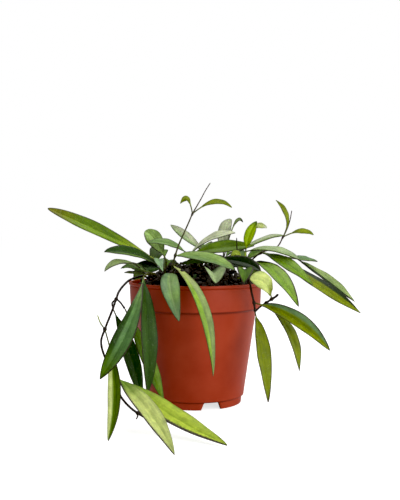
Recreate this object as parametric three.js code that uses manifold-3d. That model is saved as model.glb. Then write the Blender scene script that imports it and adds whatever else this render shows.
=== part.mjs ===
// A narrow-leaved hoya with trailing stems, in a moulded plastic nursery pot.
// Millimetres, +Z up. The plant is drawn about the pot's axis, with the pot's feet on z = 0 and the
// side that it is seen from towards -Y. The last lines move the whole group sideways, so that the
// middle of its box comes to x = y = 0.
import * as THREE from 'three';
import { mergeVertices } from 'three/addons/utils/BufferGeometryUtils.js';
import Module from 'manifold-3d';

const wasm = await Module();
wasm.setup();

// Pot sizes
const POT_HEIGHT = 96;
const LIP_RADIUS = 53.2;
const LIP_HEIGHT = 2.4;
const BAND_TOP_RADIUS = 52.5;
const BAND_BOTTOM_RADIUS = 51.9;
const BAND_BOTTOM = 75.6;
const BAND_TURN = 0.9;
const BODY_TOP_RADIUS = 48.6;
const BODY_BOTTOM_RADIUS = 38.5;
const BODY_BOTTOM = 5.8;
const FOOT_RADIUS = 36.4;
const FOOT_WALL = 1.8;
const WALL = 1.4;
const FLOOR_UNDERSIDE = 6.4;
const POT_SIDES = 60;

// Notches in the foot ring, and drain holes in the floor
const NOTCH_TOP_WIDTH = 12;
const NOTCH_BOTTOM_WIDTH = 16.5;
const NOTCH_HEIGHT = 5.6;
const NOTCH_CORNER = 1.2;
const NOTCH_ANGLES = [20, 110, 200, 290];
const DRAIN_RADIUS = 4;
const DRAIN_CIRCLE = 27;
const DRAIN_SIDES = 16;

// How far a cutting body reaches past what it cuts
const OVERCUT = 1;
const NOTCH_CUT = 14;

// Soil
const GAP = 0.3;
const SOIL_RIM = 90;
const SOIL_DOME = 10;
const SOIL_LUMP = 0.9;
const LUMP_WAVES = { across: 0.55, along: 0.47, slanted: 0.31 };
const SOIL_RINGS = 8;
const SOIL_SIDES = 40;
const STEM_DEPTH = 20;
const HOLE_CLEARANCE = 0.3;
const HOLE_SIDES = 12;
const STRAIGHT_ABOVE_SOIL = 3;

// Blade sections, from the petiole to the tip
const PETIOLE_HALF_WIDTH = 0.9;
const PETIOLE_HALF_HEIGHT = 0.8;
const EDGE_HALF_THICKNESS = 0.4;
const MIDRIB_HALF_THICKNESS = 0.75;
const TIP_HALF_WIDTH = 0.7;
const BLADE_STEPS = [0.06, 0.17, 0.32, 0.48, 0.64, 0.79, 0.91, 1];
const STEM_SIDES = 6;
const STEM_STEP = 7;

// A direction that no stem or twig starts along
const FIRST_SIDE = new THREE.Vector3(0.8, 0.5, 0.33);

// A leaf runs from a point of its stem, through its middle, to its tip. Width and petiole are in
// mm. Roll turns the blade about its own length, twist turns the tip against the base, and fold is
// the rise of the two halves from the midrib, all in degrees.
const LEAF = { width: 13, petiole: 5, roll: 0, twist: 0, fold: 16 };

function leaf(at, middle, tip, options) {
  return { at, middle, tip, ...LEAF, ...options };
}

// Each stem stands in the soil at its root, and its route goes on above the soil. A leaf's or
// twig's first number is the place in the route that it grows from.
const STEMS = [
  {
    name: 'stem_trailing_left',
    root: [-37, -4],
    radius: [1.3, 1.1],
    route: [
      [-41, -6, 100.5], [-51, -11, 98.2], [-56, -18, 94], [-59, -26, 89.5], [-60, -35, 85],
      [-62, -47, 77], [-66, -58, 65], [-68, -64, 57], [-65, -69, 47], [-55, -77, 33],
      [-53, -83, 23], [-50, -80, 17], [-45, -74, 10], [-41, -72, 6.5], [-37, -70, 3.5],
      [-31, -73, 1.6],
    ],
    leaves: [
      leaf(6, [-54, -98, 29], [-56, -127, 1.2], { width: 9, petiole: 14, fold: 45, roll: 15 }),
      leaf(9, [-31, -118, 19], [-12, -159, 1.4], { width: 14, roll: 10, petiole: 4 }),
      leaf(9, [-16, -106, 12.5], [21, -138, 1.4], { width: 17, roll: 20, petiole: 4 }),
    ],
    twigs: [
      {
        at: 4,
        radius: [1, 0.9],
        route: [[-63, -35, 82], [-62, -36, 77]],
        leaves: [leaf(1, [-49, -49, 47], [-39.5, -50, 11], { width: 12, roll: 35 })],
      },
      {
        at: 4,
        radius: [1, 0.9],
        route: [[-57, -37, 83], [-53, -39, 78]],
        leaves: [leaf(1, [-37, -42, 43], [-24, -40, 8], { width: 11, roll: 60 })],
      },
      { at: 6, radius: [0.8, 0.6], route: [[-69, -60, 70], [-71, -61, 76]] },
      { at: 13, radius: [0.8, 0.7], route: [[-41, -74, 4.5], [-42, -76, 3]] },
    ],
  },
  {
    name: 'stem_drooping_left',
    root: [-29, -17],
    radius: [1.3, 1.1],
    route: [[-32, -22, 103], [-36, -31, 104], [-39, -38, 102.5]],
    leaves: [
      leaf(2, [-46.3, -80, 69.5], [-66, -88, 34], { width: 14, petiole: 4, roll: -22, fold: 24 }),
      leaf(2, [-34.3, -64, 60], [-35, -56, 16], { width: 14, petiole: 4, roll: -20, fold: 22 }),
      leaf(1, [-53, -39, 112.5], [-67, -50, 107], { width: 12, roll: -10 }),
      leaf(0, [-46.5, -31, 109], [-56, -39, 108.5], { width: 9, roll: 30 }),
      leaf(0, [-46, -25, 104], [-54, -31, 105], { width: 6, roll: 20, petiole: 4 }),
    ],
  },
  {
    name: 'stem_left',
    root: [-24, -6],
    radius: [1.3, 1.1],
    route: [[-25, -8, 106], [-26, -9, 111]],
    leaves: [
      leaf(1, [-71, -16, 134], [-114, -22, 154], { width: 13, roll: -50 }),
      leaf(0, [-47, -27, 119], [-68, -43, 121], { width: 13, roll: -40 }),
      leaf(0, [-36.5, -13, 107.6], [-50, -17, 107.5], { width: 11, petiole: 4, roll: -60 }),
      leaf(1, [-28, -28, 114], [-24, -44, 106], { width: 8 }),
    ],
  },
  {
    name: 'stem_tall_shoot',
    root: [-17, -9],
    radius: [1.3, 0.5],
    route: [
      [-18, -9, 103], [-18, -7, 109], [-16, -7, 117], [-13, -6, 126], [-9, -5, 135],
      [-5, -4, 144], [-2.4, -4, 150], [1.6, -3, 157], [4.5, -2, 162], [7.6, 0, 168],
      [12, 2, 175],
    ],
    leaves: [
      leaf(0, [-18.5, -55, 96.6], [-11.5, -67, 72], { width: 14, fold: 9 }),
      leaf(1, [4.5, -71, 84], [13, -66, 32], { width: 10, petiole: 3 }),
      leaf(2, [9.5, -23, 115], [30, -36, 107], { width: 13, roll: 30, petiole: 1 }),
      leaf(1, [4, -18, 112], [23, -26, 110], { width: 11, roll: -20 }),
      leaf(6, [-6.3, -5, 161.5], [-12, -7, 158], { width: 4.5, petiole: 3, roll: -60 }),
      leaf(6, [15, 0, 159.5], [29, 4, 155], { width: 5, petiole: 6, roll: 60 }),
    ],
  },
  {
    name: 'stem_centre',
    root: [3, 2],
    radius: [1.3, 1.1],
    route: [[4, 0, 105], [0, 2, 113], [-5, 4, 117]],
    leaves: [
      leaf(0, [13.5, -41, 105], [15, -64, 99], { width: 16, fold: 36, petiole: 22 }),
      leaf(0, [21, 10, 109.5], [41, 13, 106.5], { width: 10, roll: 50 }),
      leaf(2, [20, 9, 122.4], [48, 13, 124], { width: 13, roll: 50 }),
      leaf(1, [33, -17, 112.8], [49.5, -38, 105.8], { width: 10, petiole: 12, roll: 45 }),
      leaf(2, [11.5, -11, 129.5], [31, -20, 135], { width: 12, roll: 35, petiole: 2 }),
      leaf(2, [-21, 6, 125.5], [-39, 4, 127], { width: 10, roll: -30 }),
    ],
  },
  {
    name: 'stem_short_right',
    root: [34, -7],
    radius: [1.3, 1],
    route: [[36, -6, 105], [39, -4, 112], [40, -2, 120]],
    leaves: [
      leaf(2, [43.3, -2, 133.5], [49, 0, 144], { width: 8.5, roll: 60, petiole: 3 }),
      leaf(2, [46.3, 3, 138], [57.4, 3, 138.8], { width: 5, roll: 60, petiole: 14 }),
      leaf(1, [33.5, -2, 118.5], [28.5, -3, 116], { width: 5, petiole: 3, roll: -60 }),
      leaf(1, [48, 8, 117.8], [59, 11, 121.5], { width: 8, petiole: 4, roll: 40 }),
      leaf(0, [37.5, -40, 106.5], [35.5, -60, 98.5], { width: 13, fold: 34, petiole: 18 }),
      leaf(2, [60, -13, 121.5], [80, -27, 114.5], { width: 13, roll: 15, petiole: 3 }),
    ],
    twigs: [
      { at: 1, radius: [0.8, 0.6], route: [[34, 0, 118], [33, 3, 131]] },
    ],
  },
  {
    name: 'stem_right',
    root: [42, 5],
    radius: [1.3, 0.5],
    route: [
      [43, 4, 104], [45, 4, 112], [53, 2, 119], [65.6, 4, 123.5], [70.6, 6, 131.4],
      [74, 7, 138], [76.4, 8, 145], [78, 9, 153],
    ],
    leaves: [
      leaf(2, [69, -25, 111.5], [88, -44, 96], { width: 12, roll: 20 }),
      leaf(1, [61, -37, 104.3], [74.5, -67, 82.5], { width: 13, roll: 10 }),
      leaf(0, [54.5, -10, 110.5], [70, -20, 104.5], { width: 12, roll: -10 }),
      leaf(4, [73.5, 5, 147], [64.5, 4, 161], { width: 5, petiole: 8, roll: -70 }),
      leaf(4, [85, 9, 136], [96, 12, 133], { width: 5, petiole: 6, roll: 60 }),
    ],
    twigs: [
      {
        at: 2,
        radius: [1.2, 1],
        route: [[62, -2, 117], [72, 0, 115], [80, 2, 115]],
        leaves: [
          leaf(0, [92, -40, 96], [121, -58, 77], { width: 13, roll: 20 }),
          leaf(1, [83, -3, 114], [97, -5, 112], { width: 9, roll: 20 }),
          leaf(2, [102, -12, 99], [123, -24, 82], { width: 12, roll: 15 }),
        ],
      },
    ],
  },
  {
    name: 'stem_trailing_right',
    root: [35, -22],
    radius: [1.3, 1.1],
    route: [
      [37, -29, 102], [39, -38, 101.5], [41, -44, 97], [42, -47, 91], [44, -44, 83], [45, -41, 76],
    ],
    leaves: [
      leaf(4, [72, -56, 72], [98, -62, 50], { width: 13, roll: 45, fold: 30 }),
      leaf(5, [50, -50, 45], [54, -52, 10], { width: 14, petiole: 4 }),
    ],
    twigs: [
      {
        at: 5,
        radius: [1, 0.7],
        route: [[49, -42, 80], [53, -44, 83], [57, -46, 86], [60, -47, 88], [62, -47, 90]],
        leaves: [
          leaf(2, [51, -56, 98], [40, -60, 102], { width: 16, roll: -70, petiole: 3 }),
          leaf(1, [70, -50, 61], [77, -52, 33], { width: 11, roll: 25 }),
        ],
      },
    ],
  },
  {
    name: 'stem_back_left',
    root: [-23, 14],
    radius: [1.3, 1.1],
    route: [[-24, 13, 105], [-24, 11, 112]],
    leaves: [
      leaf(1, [-33, 18, 128], [-42, 25, 136], { width: 13, roll: -50 }),
      leaf(1, [-31, 38, 119], [-38, 58, 104], { width: 14, roll: 10 }),
      leaf(0, [-44, 38, 106], [-49, 52, 72], { width: 14, roll: -15 }),
      leaf(0, [-23, 54, 105], [-26, 66, 58], { width: 14, roll: 12 }),
    ],
  },
  {
    name: 'stem_back_middle',
    root: [3, 22],
    radius: [1.3, 1.1],
    route: [[5, 21, 105], [6, 17, 113], [8, 12, 118]],
    leaves: [
      leaf(2, [-6.5, 20.5, 130.5], [-21, 30, 141], { width: 8, roll: -50 }),
      leaf(2, [8, 38, 124], [12, 60, 116], { width: 13, roll: -12 }),
      leaf(1, [20, 48, 112], [28, 64, 86], { width: 13, roll: 14 }),
      leaf(0, [-2, 56, 106], [-5, 66, 62], { width: 14, roll: -8 }),
    ],
  },
  {
    name: 'stem_back_right',
    root: [27, 18],
    radius: [1.3, 1.1],
    route: [[26, 18, 105], [23, 19, 113]],
    leaves: [
      leaf(1, [24.3, 22, 134.4], [30, 21, 145.2], { width: 13, roll: 35 }),
      leaf(1, [32, 24, 141.4], [39.2, 24, 143.3], { width: 3, petiole: 15, roll: 60 }),
      leaf(1, [55, 23.5, 128], [74, 28, 132], { width: 8, roll: 20 }),
      leaf(1, [34, 40, 117], [43, 58, 104], { width: 13, roll: -16 }),
      leaf(0, [46, 40, 104], [49, 50, 66], { width: 14, roll: 10 }),
    ],
  },
  {
    name: 'stem_trailing_back',
    root: [13, 34],
    radius: [1.3, 1.1],
    route: [
      [13, 38, 101], [14, 49, 100.5], [16, 57, 96], [17, 60, 88], [15, 59, 76], [13, 56, 64],
    ],
    leaves: [
      leaf(3, [29, 65, 66], [35, 60, 34], { width: 13, roll: -30 }),
      leaf(4, [0, 64, 57], [-7, 58, 26], { width: 13, roll: 25 }),
      leaf(5, [20, 59, 36], [23, 51, 8], { width: 12, roll: -12 }),
      leaf(5, [6, 59, 40], [3, 52, 14], { width: 11, roll: 15 }),
    ],
  },
];

function vector(point) {
  return new THREE.Vector3(point[0], point[1], point[2]);
}

function radians(degrees) {
  return THREE.MathUtils.degToRad(degrees);
}

// Closed body through rings of points that all have the same count, with a flat face at each end.
// The faces of the lower half of a ring are split the other way, so that the two sides of a
// twisted blade have the same diagonals and never cross.
function loft(rings, mirrored) {
  const sides = rings[0].length;
  const positions = rings.flat().flatMap((p) => [p.x, p.y, p.z]);
  const faces = [];
  for (let r = 0; r + 1 < rings.length; r += 1) {
    for (let i = 0; i < sides; i += 1) {
      const j = (i + 1) % sides;
      const [a, b] = [r * sides + i, r * sides + j];
      const [c, d] = [a + sides, b + sides];
      if (mirrored && i >= sides / 2) {
        faces.push(a, b, c, b, d, c);
      } else {
        faces.push(a, b, d, a, d, c);
      }
    }
  }
  const last = (rings.length - 1) * sides;
  for (let i = 1; i + 1 < sides; i += 1) {
    faces.push(0, i + 1, i);
    faces.push(last, last + i, last + i + 1);
  }
  const geometry = new THREE.BufferGeometry();
  geometry.setAttribute('position', new THREE.Float32BufferAttribute(positions, 3));
  geometry.setIndex(faces);
  return geometry;
}

function toSolid(geometry) {
  const bare = geometry.clone();
  for (const attribute of Object.keys(bare.attributes)) {
    if (attribute !== 'position') {
      bare.deleteAttribute(attribute);
    }
  }
  const merged = mergeVertices(bare, 1e-4);
  const mesh = new wasm.Mesh({
    numProp: 3,
    vertProperties: new Float32Array(merged.attributes.position.array),
    triVerts: new Uint32Array(merged.index.array),
  });
  return new wasm.Manifold(mesh);
}

function toGeometry(solid) {
  const mesh = solid.getMesh();
  const geometry = new THREE.BufferGeometry();
  geometry.setAttribute('position', new THREE.Float32BufferAttribute(mesh.vertProperties, 3));
  geometry.setIndex(Array.from(mesh.triVerts));
  geometry.computeVertexNormals();
  return geometry;
}

// Share of a leaf's full width at a place on its blade: none at the base, most just past the
// middle, and drawn out to the tip.
function bladeWidth(u) {
  return Math.sin(Math.PI * u ** 1.1) ** 0.85;
}

// Points and directions along a leaf: a parabola through its stem, its middle and its tip.
function leafAxis(base, data) {
  const middle = vector(data.middle);
  const tip = vector(data.tip);
  const control = middle.clone().multiplyScalar(2);
  control.addScaledVector(base, -0.5).addScaledVector(tip, -0.5);
  const chord = tip.clone().sub(base).normalize();
  const across = chord.clone().cross(new THREE.Vector3(0, 0, 1)).normalize();
  const above = across.clone().cross(chord);
  const curve = new THREE.QuadraticBezierCurve3(base, control, tip);
  return (t) => {
    const along = curve.getTangent(t);
    const turn = radians(data.roll + data.twist * (t - 0.5));
    const normal = above.clone().multiplyScalar(Math.cos(turn)).addScaledVector(across, Math.sin(turn));
    normal.addScaledVector(along, -normal.dot(along)).normalize();
    const side = along.clone().cross(normal);
    return { centre: curve.getPoint(t), side, normal };
  };
}

function leafRing(frame, halfWidth, edge, core, fold) {
  const rise = halfWidth * Math.tan(radians(fold));
  const section = [
    [halfWidth, rise - edge], [0, -core], [-halfWidth, rise - edge],
    [-halfWidth, rise + edge], [0, core], [halfWidth, rise + edge],
  ];
  return section.map(([across, up]) => {
    const point = frame.centre.clone().addScaledVector(frame.side, across);
    return point.addScaledVector(frame.normal, up);
  });
}

function leafSolid(base, data) {
  const frameAt = leafAxis(base, data);
  const length = base.distanceTo(vector(data.tip));
  const start = data.petiole / length;
  const petiole = [PETIOLE_HALF_WIDTH, PETIOLE_HALF_HEIGHT / 2, PETIOLE_HALF_HEIGHT, 0];
  const rings = [leafRing(frameAt(0), ...petiole), leafRing(frameAt(start), ...petiole)];
  for (const u of BLADE_STEPS) {
    const half = Math.max(TIP_HALF_WIDTH, data.width / 2 * bladeWidth(u));
    const core = THREE.MathUtils.lerp(MIDRIB_HALF_THICKNESS, EDGE_HALF_THICKNESS, u ** 3);
    const frame = frameAt(start + (1 - start) * u);
    rings.push(leafRing(frame, half, EDGE_HALF_THICKNESS, core, data.fold));
  }
  return toSolid(loft(rings, true));
}

// Places along a curve's points: each point, and more between points that lie far apart.
function stemPlaces(points) {
  const spans = points.length - 1;
  const places = [0];
  for (let span = 0; span < spans; span += 1) {
    const parts = Math.max(1, Math.round(points[span].distanceTo(points[span + 1]) / STEM_STEP));
    for (let part = 1; part <= parts; part += 1) {
      places.push((span + part / parts) / spans);
    }
  }
  return places;
}

// Round tube through the points, narrowing from the first radius to the second.
function tubeSolid(points, radii) {
  const curve = new THREE.CatmullRomCurve3(points, false, 'centripetal');
  const right = FIRST_SIDE.clone();
  const rings = stemPlaces(points).map((place) => {
    const along = curve.getTangent(place);
    right.addScaledVector(along, -right.dot(along)).normalize();
    const front = along.clone().cross(right);
    const radius = THREE.MathUtils.lerp(radii[0], radii[1], place);
    const ring = [];
    for (let i = 0; i < STEM_SIDES; i += 1) {
      const angle = 2 * Math.PI * i / STEM_SIDES;
      const point = curve.getPoint(place).addScaledVector(right, radius * Math.cos(angle));
      ring.push(point.addScaledVector(front, radius * Math.sin(angle)));
    }
    return ring;
  });
  return toSolid(loft(rings, false));
}

// A stem or twig from its first points on, with its twigs and its leaves.
function branchPieces(first, branch) {
  const route = branch.route.map(vector);
  const pieces = [tubeSolid([...first, ...route], branch.radius)];
  for (const data of branch.leaves ?? []) {
    pieces.push(leafSolid(route[data.at], data));
  }
  for (const twig of branch.twigs ?? []) {
    pieces.push(...branchPieces([route[twig.at]], twig));
  }
  return pieces;
}

// Height of the soil: a low mound with lumps, level at the pot's wall.
function soilHeight(x, y) {
  const reach = Math.min(1, Math.hypot(x, y) / LIP_RADIUS);
  const fine = Math.sin(LUMP_WAVES.across * x + 1) * Math.cos(LUMP_WAVES.along * y);
  const broad = Math.sin(LUMP_WAVES.slanted * (x - y) + 2);
  const lumps = SOIL_LUMP * (fine + broad) * (1 - reach ** 4);
  return SOIL_RIM + SOIL_DOME * (1 - reach ** 2) + lumps;
}

function stemSolid(stem) {
  const [x, y] = stem.root;
  const surface = soilHeight(x, y);
  const first = [surface - STEM_DEPTH, surface, surface + STRAIGHT_ABOVE_SOIL];
  const pieces = branchPieces(first.map((z) => new THREE.Vector3(x, y, z)), stem);
  return pieces.reduce((whole, piece) => whole.add(piece));
}

function lathe(profile, sides) {
  const points = profile.map(([radius, height]) => new THREE.Vector2(radius, height));
  const geometry = new THREE.LatheGeometry(points, sides);
  geometry.rotateX(Math.PI / 2);
  return geometry;
}

function cylinderSolid(x, y, bottom, top, radius, sides) {
  const geometry = new THREE.CylinderGeometry(radius, radius, top - bottom, sides);
  geometry.rotateX(Math.PI / 2);
  geometry.translate(x, y, (bottom + top) / 2);
  return toSolid(geometry);
}

// Inside of the pot's wall, from its floor up.
const FLOOR_TOP = FLOOR_UNDERSIDE + WALL;
const INSIDE = [
  [BODY_BOTTOM_RADIUS - WALL, FLOOR_TOP],
  [BODY_TOP_RADIUS - WALL, BAND_BOTTOM + WALL],
  [BAND_BOTTOM_RADIUS - WALL, BAND_BOTTOM + WALL + BAND_TURN],
  [BAND_TOP_RADIUS - WALL, POT_HEIGHT - LIP_HEIGHT],
  [BAND_TOP_RADIUS - WALL, POT_HEIGHT - 0.5],
];

function notchSolid(degrees) {
  const [top, bottom] = [NOTCH_TOP_WIDTH / 2, NOTCH_BOTTOM_WIDTH / 2];
  const shape = new THREE.Shape();
  shape.moveTo(-bottom, -OVERCUT);
  shape.lineTo(bottom, -OVERCUT);
  shape.lineTo(top + NOTCH_CORNER / 3, NOTCH_HEIGHT - NOTCH_CORNER);
  shape.lineTo(top - NOTCH_CORNER, NOTCH_HEIGHT);
  shape.lineTo(-top + NOTCH_CORNER, NOTCH_HEIGHT);
  shape.lineTo(-top - NOTCH_CORNER / 3, NOTCH_HEIGHT - NOTCH_CORNER);
  shape.closePath();
  const geometry = new THREE.ExtrudeGeometry(shape, { depth: NOTCH_CUT, bevelEnabled: false });
  geometry.rotateX(Math.PI / 2);
  geometry.translate(0, NOTCH_CUT / 2 - FOOT_RADIUS, 0);
  geometry.rotateZ(radians(degrees));
  return toSolid(geometry);
}

function potSolid() {
  const outside = [
    [0, FLOOR_UNDERSIDE],
    [BODY_BOTTOM_RADIUS - FOOT_WALL, FLOOR_UNDERSIDE],
    [FOOT_RADIUS - FOOT_WALL, 0],
    [FOOT_RADIUS, 0],
    [BODY_BOTTOM_RADIUS, BODY_BOTTOM],
    [BODY_TOP_RADIUS, BAND_BOTTOM - BAND_TURN],
    [BODY_TOP_RADIUS + BAND_TURN, BAND_BOTTOM],
    [BAND_BOTTOM_RADIUS - BAND_TURN / 3, BAND_BOTTOM],
    [BAND_BOTTOM_RADIUS, BAND_BOTTOM + BAND_TURN],
    [BAND_TOP_RADIUS, POT_HEIGHT - LIP_HEIGHT],
    [LIP_RADIUS, POT_HEIGHT - 0.7 * LIP_HEIGHT],
    [LIP_RADIUS, POT_HEIGHT - 0.5],
    [LIP_RADIUS - 0.5, POT_HEIGHT],
    [BAND_TOP_RADIUS - WALL + 0.5, POT_HEIGHT],
  ];
  const inside = [...INSIDE].reverse();
  let pot = toSolid(lathe([...outside, ...inside, [0, FLOOR_TOP]], POT_SIDES));
  const drains = [[0, 0]];
  for (const degrees of NOTCH_ANGLES) {
    pot = pot.subtract(notchSolid(degrees));
    const angle = radians(degrees - 90);
    drains.push([DRAIN_CIRCLE * Math.cos(angle), DRAIN_CIRCLE * Math.sin(angle)]);
  }
  const [below, above] = [FLOOR_UNDERSIDE - OVERCUT, FLOOR_TOP + OVERCUT];
  for (const [x, y] of drains) {
    pot = pot.subtract(cylinderSolid(x, y, below, above, DRAIN_RADIUS, DRAIN_SIDES));
  }
  return pot;
}

function soilSolid() {
  const profile = [[0, FLOOR_TOP + GAP]];
  for (const [radius, height] of INSIDE.slice(0, 3)) {
    profile.push([radius - GAP, height + GAP]);
  }
  const edge = INSIDE[3][0] - GAP;
  for (let ring = SOIL_RINGS; ring >= 0; ring -= 1) {
    profile.push([edge * ring / SOIL_RINGS, SOIL_RIM]);
  }
  const geometry = lathe(profile, SOIL_SIDES);
  const position = geometry.attributes.position;
  for (let i = 0; i < position.count; i += 1) {
    if (position.getZ(i) >= SOIL_RIM) {
      position.setZ(i, soilHeight(position.getX(i), position.getY(i)));
    }
  }
  let soil = toSolid(geometry);
  for (const { root: [x, y], radius } of STEMS) {
    const bottom = soilHeight(x, y) - STEM_DEPTH - GAP;
    const hole = radius[0] + HOLE_CLEARANCE;
    soil = soil.subtract(cylinderSolid(x, y, bottom, POT_HEIGHT + STEM_DEPTH, hole, HOLE_SIDES));
  }
  return soil;
}

function named(name, solid, material) {
  const mesh = new THREE.Mesh(toGeometry(solid), material);
  mesh.name = name;
  return mesh;
}

const plastic = new THREE.MeshStandardMaterial({ color: 0x9c3d20, roughness: 0.45, metalness: 0 });
const earth = new THREE.MeshStandardMaterial({ color: 0x2a1d17, roughness: 1, metalness: 0 });
const foliage = new THREE.MeshStandardMaterial({ color: 0x5f8a2c, roughness: 0.4, metalness: 0 });

const plant = new THREE.Group();
plant.add(named('pot', potSolid(), plastic));
plant.add(named('soil', soilSolid(), earth));
for (const stem of STEMS) {
  plant.add(named(stem.name, stemSolid(stem), foliage));
}
const middle = new THREE.Box3().setFromObject(plant).getCenter(new THREE.Vector3());
plant.position.set(-middle.x, -middle.y, 0);

export default plant;
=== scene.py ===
"""A narrow-leaved hoya in a moulded plastic nursery pot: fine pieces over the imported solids.

The tables are in millimetres about the pot's axis, as the plant was drawn; every piece's mesh is in
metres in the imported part's frame.
"""

import math

import bpy
import numpy as np
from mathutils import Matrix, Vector, noise


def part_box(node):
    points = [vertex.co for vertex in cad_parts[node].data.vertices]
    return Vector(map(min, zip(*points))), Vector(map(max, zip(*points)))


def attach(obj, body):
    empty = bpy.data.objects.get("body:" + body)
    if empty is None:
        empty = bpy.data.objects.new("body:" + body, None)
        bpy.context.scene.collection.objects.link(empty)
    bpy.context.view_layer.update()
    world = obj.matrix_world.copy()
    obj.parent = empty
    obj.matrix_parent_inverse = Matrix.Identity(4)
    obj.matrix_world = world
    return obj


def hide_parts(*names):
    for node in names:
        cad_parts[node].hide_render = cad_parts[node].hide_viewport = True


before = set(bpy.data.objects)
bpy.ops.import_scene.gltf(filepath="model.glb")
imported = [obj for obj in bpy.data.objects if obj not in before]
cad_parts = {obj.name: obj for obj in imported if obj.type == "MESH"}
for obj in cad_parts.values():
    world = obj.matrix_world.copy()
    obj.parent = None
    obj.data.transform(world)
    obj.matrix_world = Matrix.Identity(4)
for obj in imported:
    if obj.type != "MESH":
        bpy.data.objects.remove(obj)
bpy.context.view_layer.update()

MM = 0.001
UP = np.array([0.0, 0.0, 1.0])
pot_low, pot_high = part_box("pot")
AXIS = np.array([(pot_low.x + pot_high.x) / 2, (pot_low.y + pot_high.y) / 2, 0.0])

# Pot sizes, mm
POT_HEIGHT = 96
LIP_RADIUS = 53.2
LIP_HEIGHT = 2.4
LIP_FACE_SHARE = 0.7
GROOVE = 0.6
BAND_TOP_RADIUS = 52.5
BAND_BOTTOM_RADIUS = 51.9
BAND_BOTTOM = 75.6
BAND_CHAMFER = 0.3
STEP_CHAMFER = 0.9
BODY_TOP_RADIUS = 48.6
BODY_BOTTOM_RADIUS = 38.5
BODY_BOTTOM = 5.8
FOOT_RADIUS = 36.4
FOOT_WALL = 1.8
FOOT_STEP_UNDER = 0.1
FOOT_STEP_OVER = 0.4
WALL = 1.4
FLOOR_UNDERSIDE = 6.4
FLOOR_INSET = 1
CORNER_RADIUS = 0.3
# A rounded corner takes at most one part in this many of the edges beside it
CORNER_PARTS = 2.2
CORNER_STEPS = 4
NOTCH_ANGLES = (20, 110, 200, 290)
NOTCH_TOP_WIDTH = 12
NOTCH_BOTTOM_WIDTH = 16.5
NOTCH_HEIGHT = 5.6
DRAIN_RADIUS = 4
DRAIN_CIRCLE = 27
DRAIN_CLEARANCE = 2
DRAIN_SIDES = 40
POT_SIDES = 360

# Soil, mm
SOIL_RIM = 90
SOIL_DOME = 10
SOIL_LUMP = 0.9
SOIL_WALL_GAP = 0.3
SOIL_SHOULDER = 84
SOIL_BOTTOM = 8.1
SOIL_RINGS = 70
SOIL_SIDES = 200
STEM_DEPTH = 20
STRAIGHT_ABOVE_SOIL = 3

# Fine lumps and crumbs of the soil: height in mm and count per mm. The shape of the lumps is their
# roughness, lacunarity and octaves
FINE_LUMP = (0.5, 0.35)
FINE_LUMP_SHAPE = (0.8, 2.1, 4)
CRUMB = (0.2, 0.4)

# Chips on the soil: colour, count, shortest and longest half-length in mm, and thickness share
CHIPS = (
    ("peat", 760, 1.0, 3.2, 0.55),
    ("rust", 60, 0.8, 2.2, 0.5),
    ("ash", 14, 1.0, 2.2, 0.5),
    ("perlite", 26, 0.5, 1.0, 0.9),
    ("forest", 8, 1.2, 2.6, 0.2),
)
CHIP_REACH = 48
CHIP_HEAP = 11
CHIP_RINGS = 6
CHIP_SIDES = 9
CHIP_SEED = 7
# How far a chip's rings reach towards its poles, in radians, and how uneven chips are
CHIP_POLE = 1.3
CHIP_CORNERS = (0.72, 1.15)
CHIP_WIDTH_SHARE = (0.5, 0.8)
CHIP_THICKNESS_SHARE = (0.7, 1.2)
CHIP_SHADE = (0.5, 1.5)

# Stems, mm
STEM_SLIMNESS = 0.7
STEM_SIDES = 14
STEM_STEP = 0.9
STEM_UNEVENNESS = 0.04
KNOT_HALF_LENGTH = 1.2
KNOT_SWELLING = 0.9
KNOT_DARKNESS = 0.7

# Leaves, mm
PETIOLE_RADIUS = 0.52
EDGE_HALF_THICKNESS = 0.4
EDGE_HALF_THICKNESS_AT_TIP = 0.2
MIDRIB_HALF_THICKNESS = 0.72
MIDRIB_HALF_THICKNESS_AT_TIP = 0.3
MIDRIB_GROOVE = 0.16
MIDRIB_GROOVE_HALF_WIDTH = 0.45
RIB_COLOUR_HALF_WIDTH = 0.7
TIP_HALF_WIDTH = 0.12
LEAF_WAVE = 0.25
# How much each half of a blade bulges, as a share of its width
LEAF_PUFF = 0.05
# A fold that is round at the midrib: its rounding, then what brings it to 0 there and 1 at the edge
FOLD_ROUNDING = 0.012
FOLD_OFFSET = 0.11
FOLD_RANGE = 0.896
# Places on the blade between which the stalk opens, and up to which no edge is drawn
OPENING = (0.0, 0.1)
BLADE_START = 0.03
PETIOLE_STATIONS = 6
BLADE_STATIONS = 46
# Places across a blade from the midrib to one edge
HALF_SECTION = (0.0, 0.035, 0.09, 0.19, 0.33, 0.5, 0.66, 0.8, 0.905, 0.97, 1.0)
# A distance from the edge at which nothing of the edge is seen
FAR_FROM_EDGE = 9

# Leaf looks: depth of colour, how far streaks are drawn out, and the darker green along the edge
LEAF_SATURATION = 1.1
STREAK_STRETCH = 0.16
RIM_SHADE = 0.62
RIM_SHADE_WIDTH = 2.0
# Sets the streaks of one leaf apart from those of the next
SEED_SHIFT = 40
CREASE_BLUR = 0.07
UNDERSIDE_COLOUR = "sage"
UNDERSIDE_SHARE = 0.6

# Scene-linear colours of the details
FLECK_COLOUR = (0.5, 0.58, 0.4)
RIB_COLOUR = (0.25, 0.28, 0.16)
MARGIN_COLOUR = (0.03, 0.022, 0.012)
PLASTIC_COLOUR = (0.32, 0.034, 0.010)
DUSTY_COLOUR = (0.38, 0.050, 0.018)
# Dark red-brown of the painted shade below the pot's steps
STEP_SHADE_COLOUR = (0.09, 0.008, 0.003)
PEAT_COLOUR = (0.008, 0.006, 0.005)
FIBRE_COLOUR = (0.07, 0.035, 0.02)

# Painted shade just below the band's step and the foot's step: height of the step's corner,
# reach below it in mm, and strength
STEP_SHADE_LINES = ((BAND_BOTTOM, 1.8, 0.65), (BODY_BOTTOM, 1.0, 0.5))

# Low specular level that keeps leaves and plastic satin under the large lights
SATIN = 0.16
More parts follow.
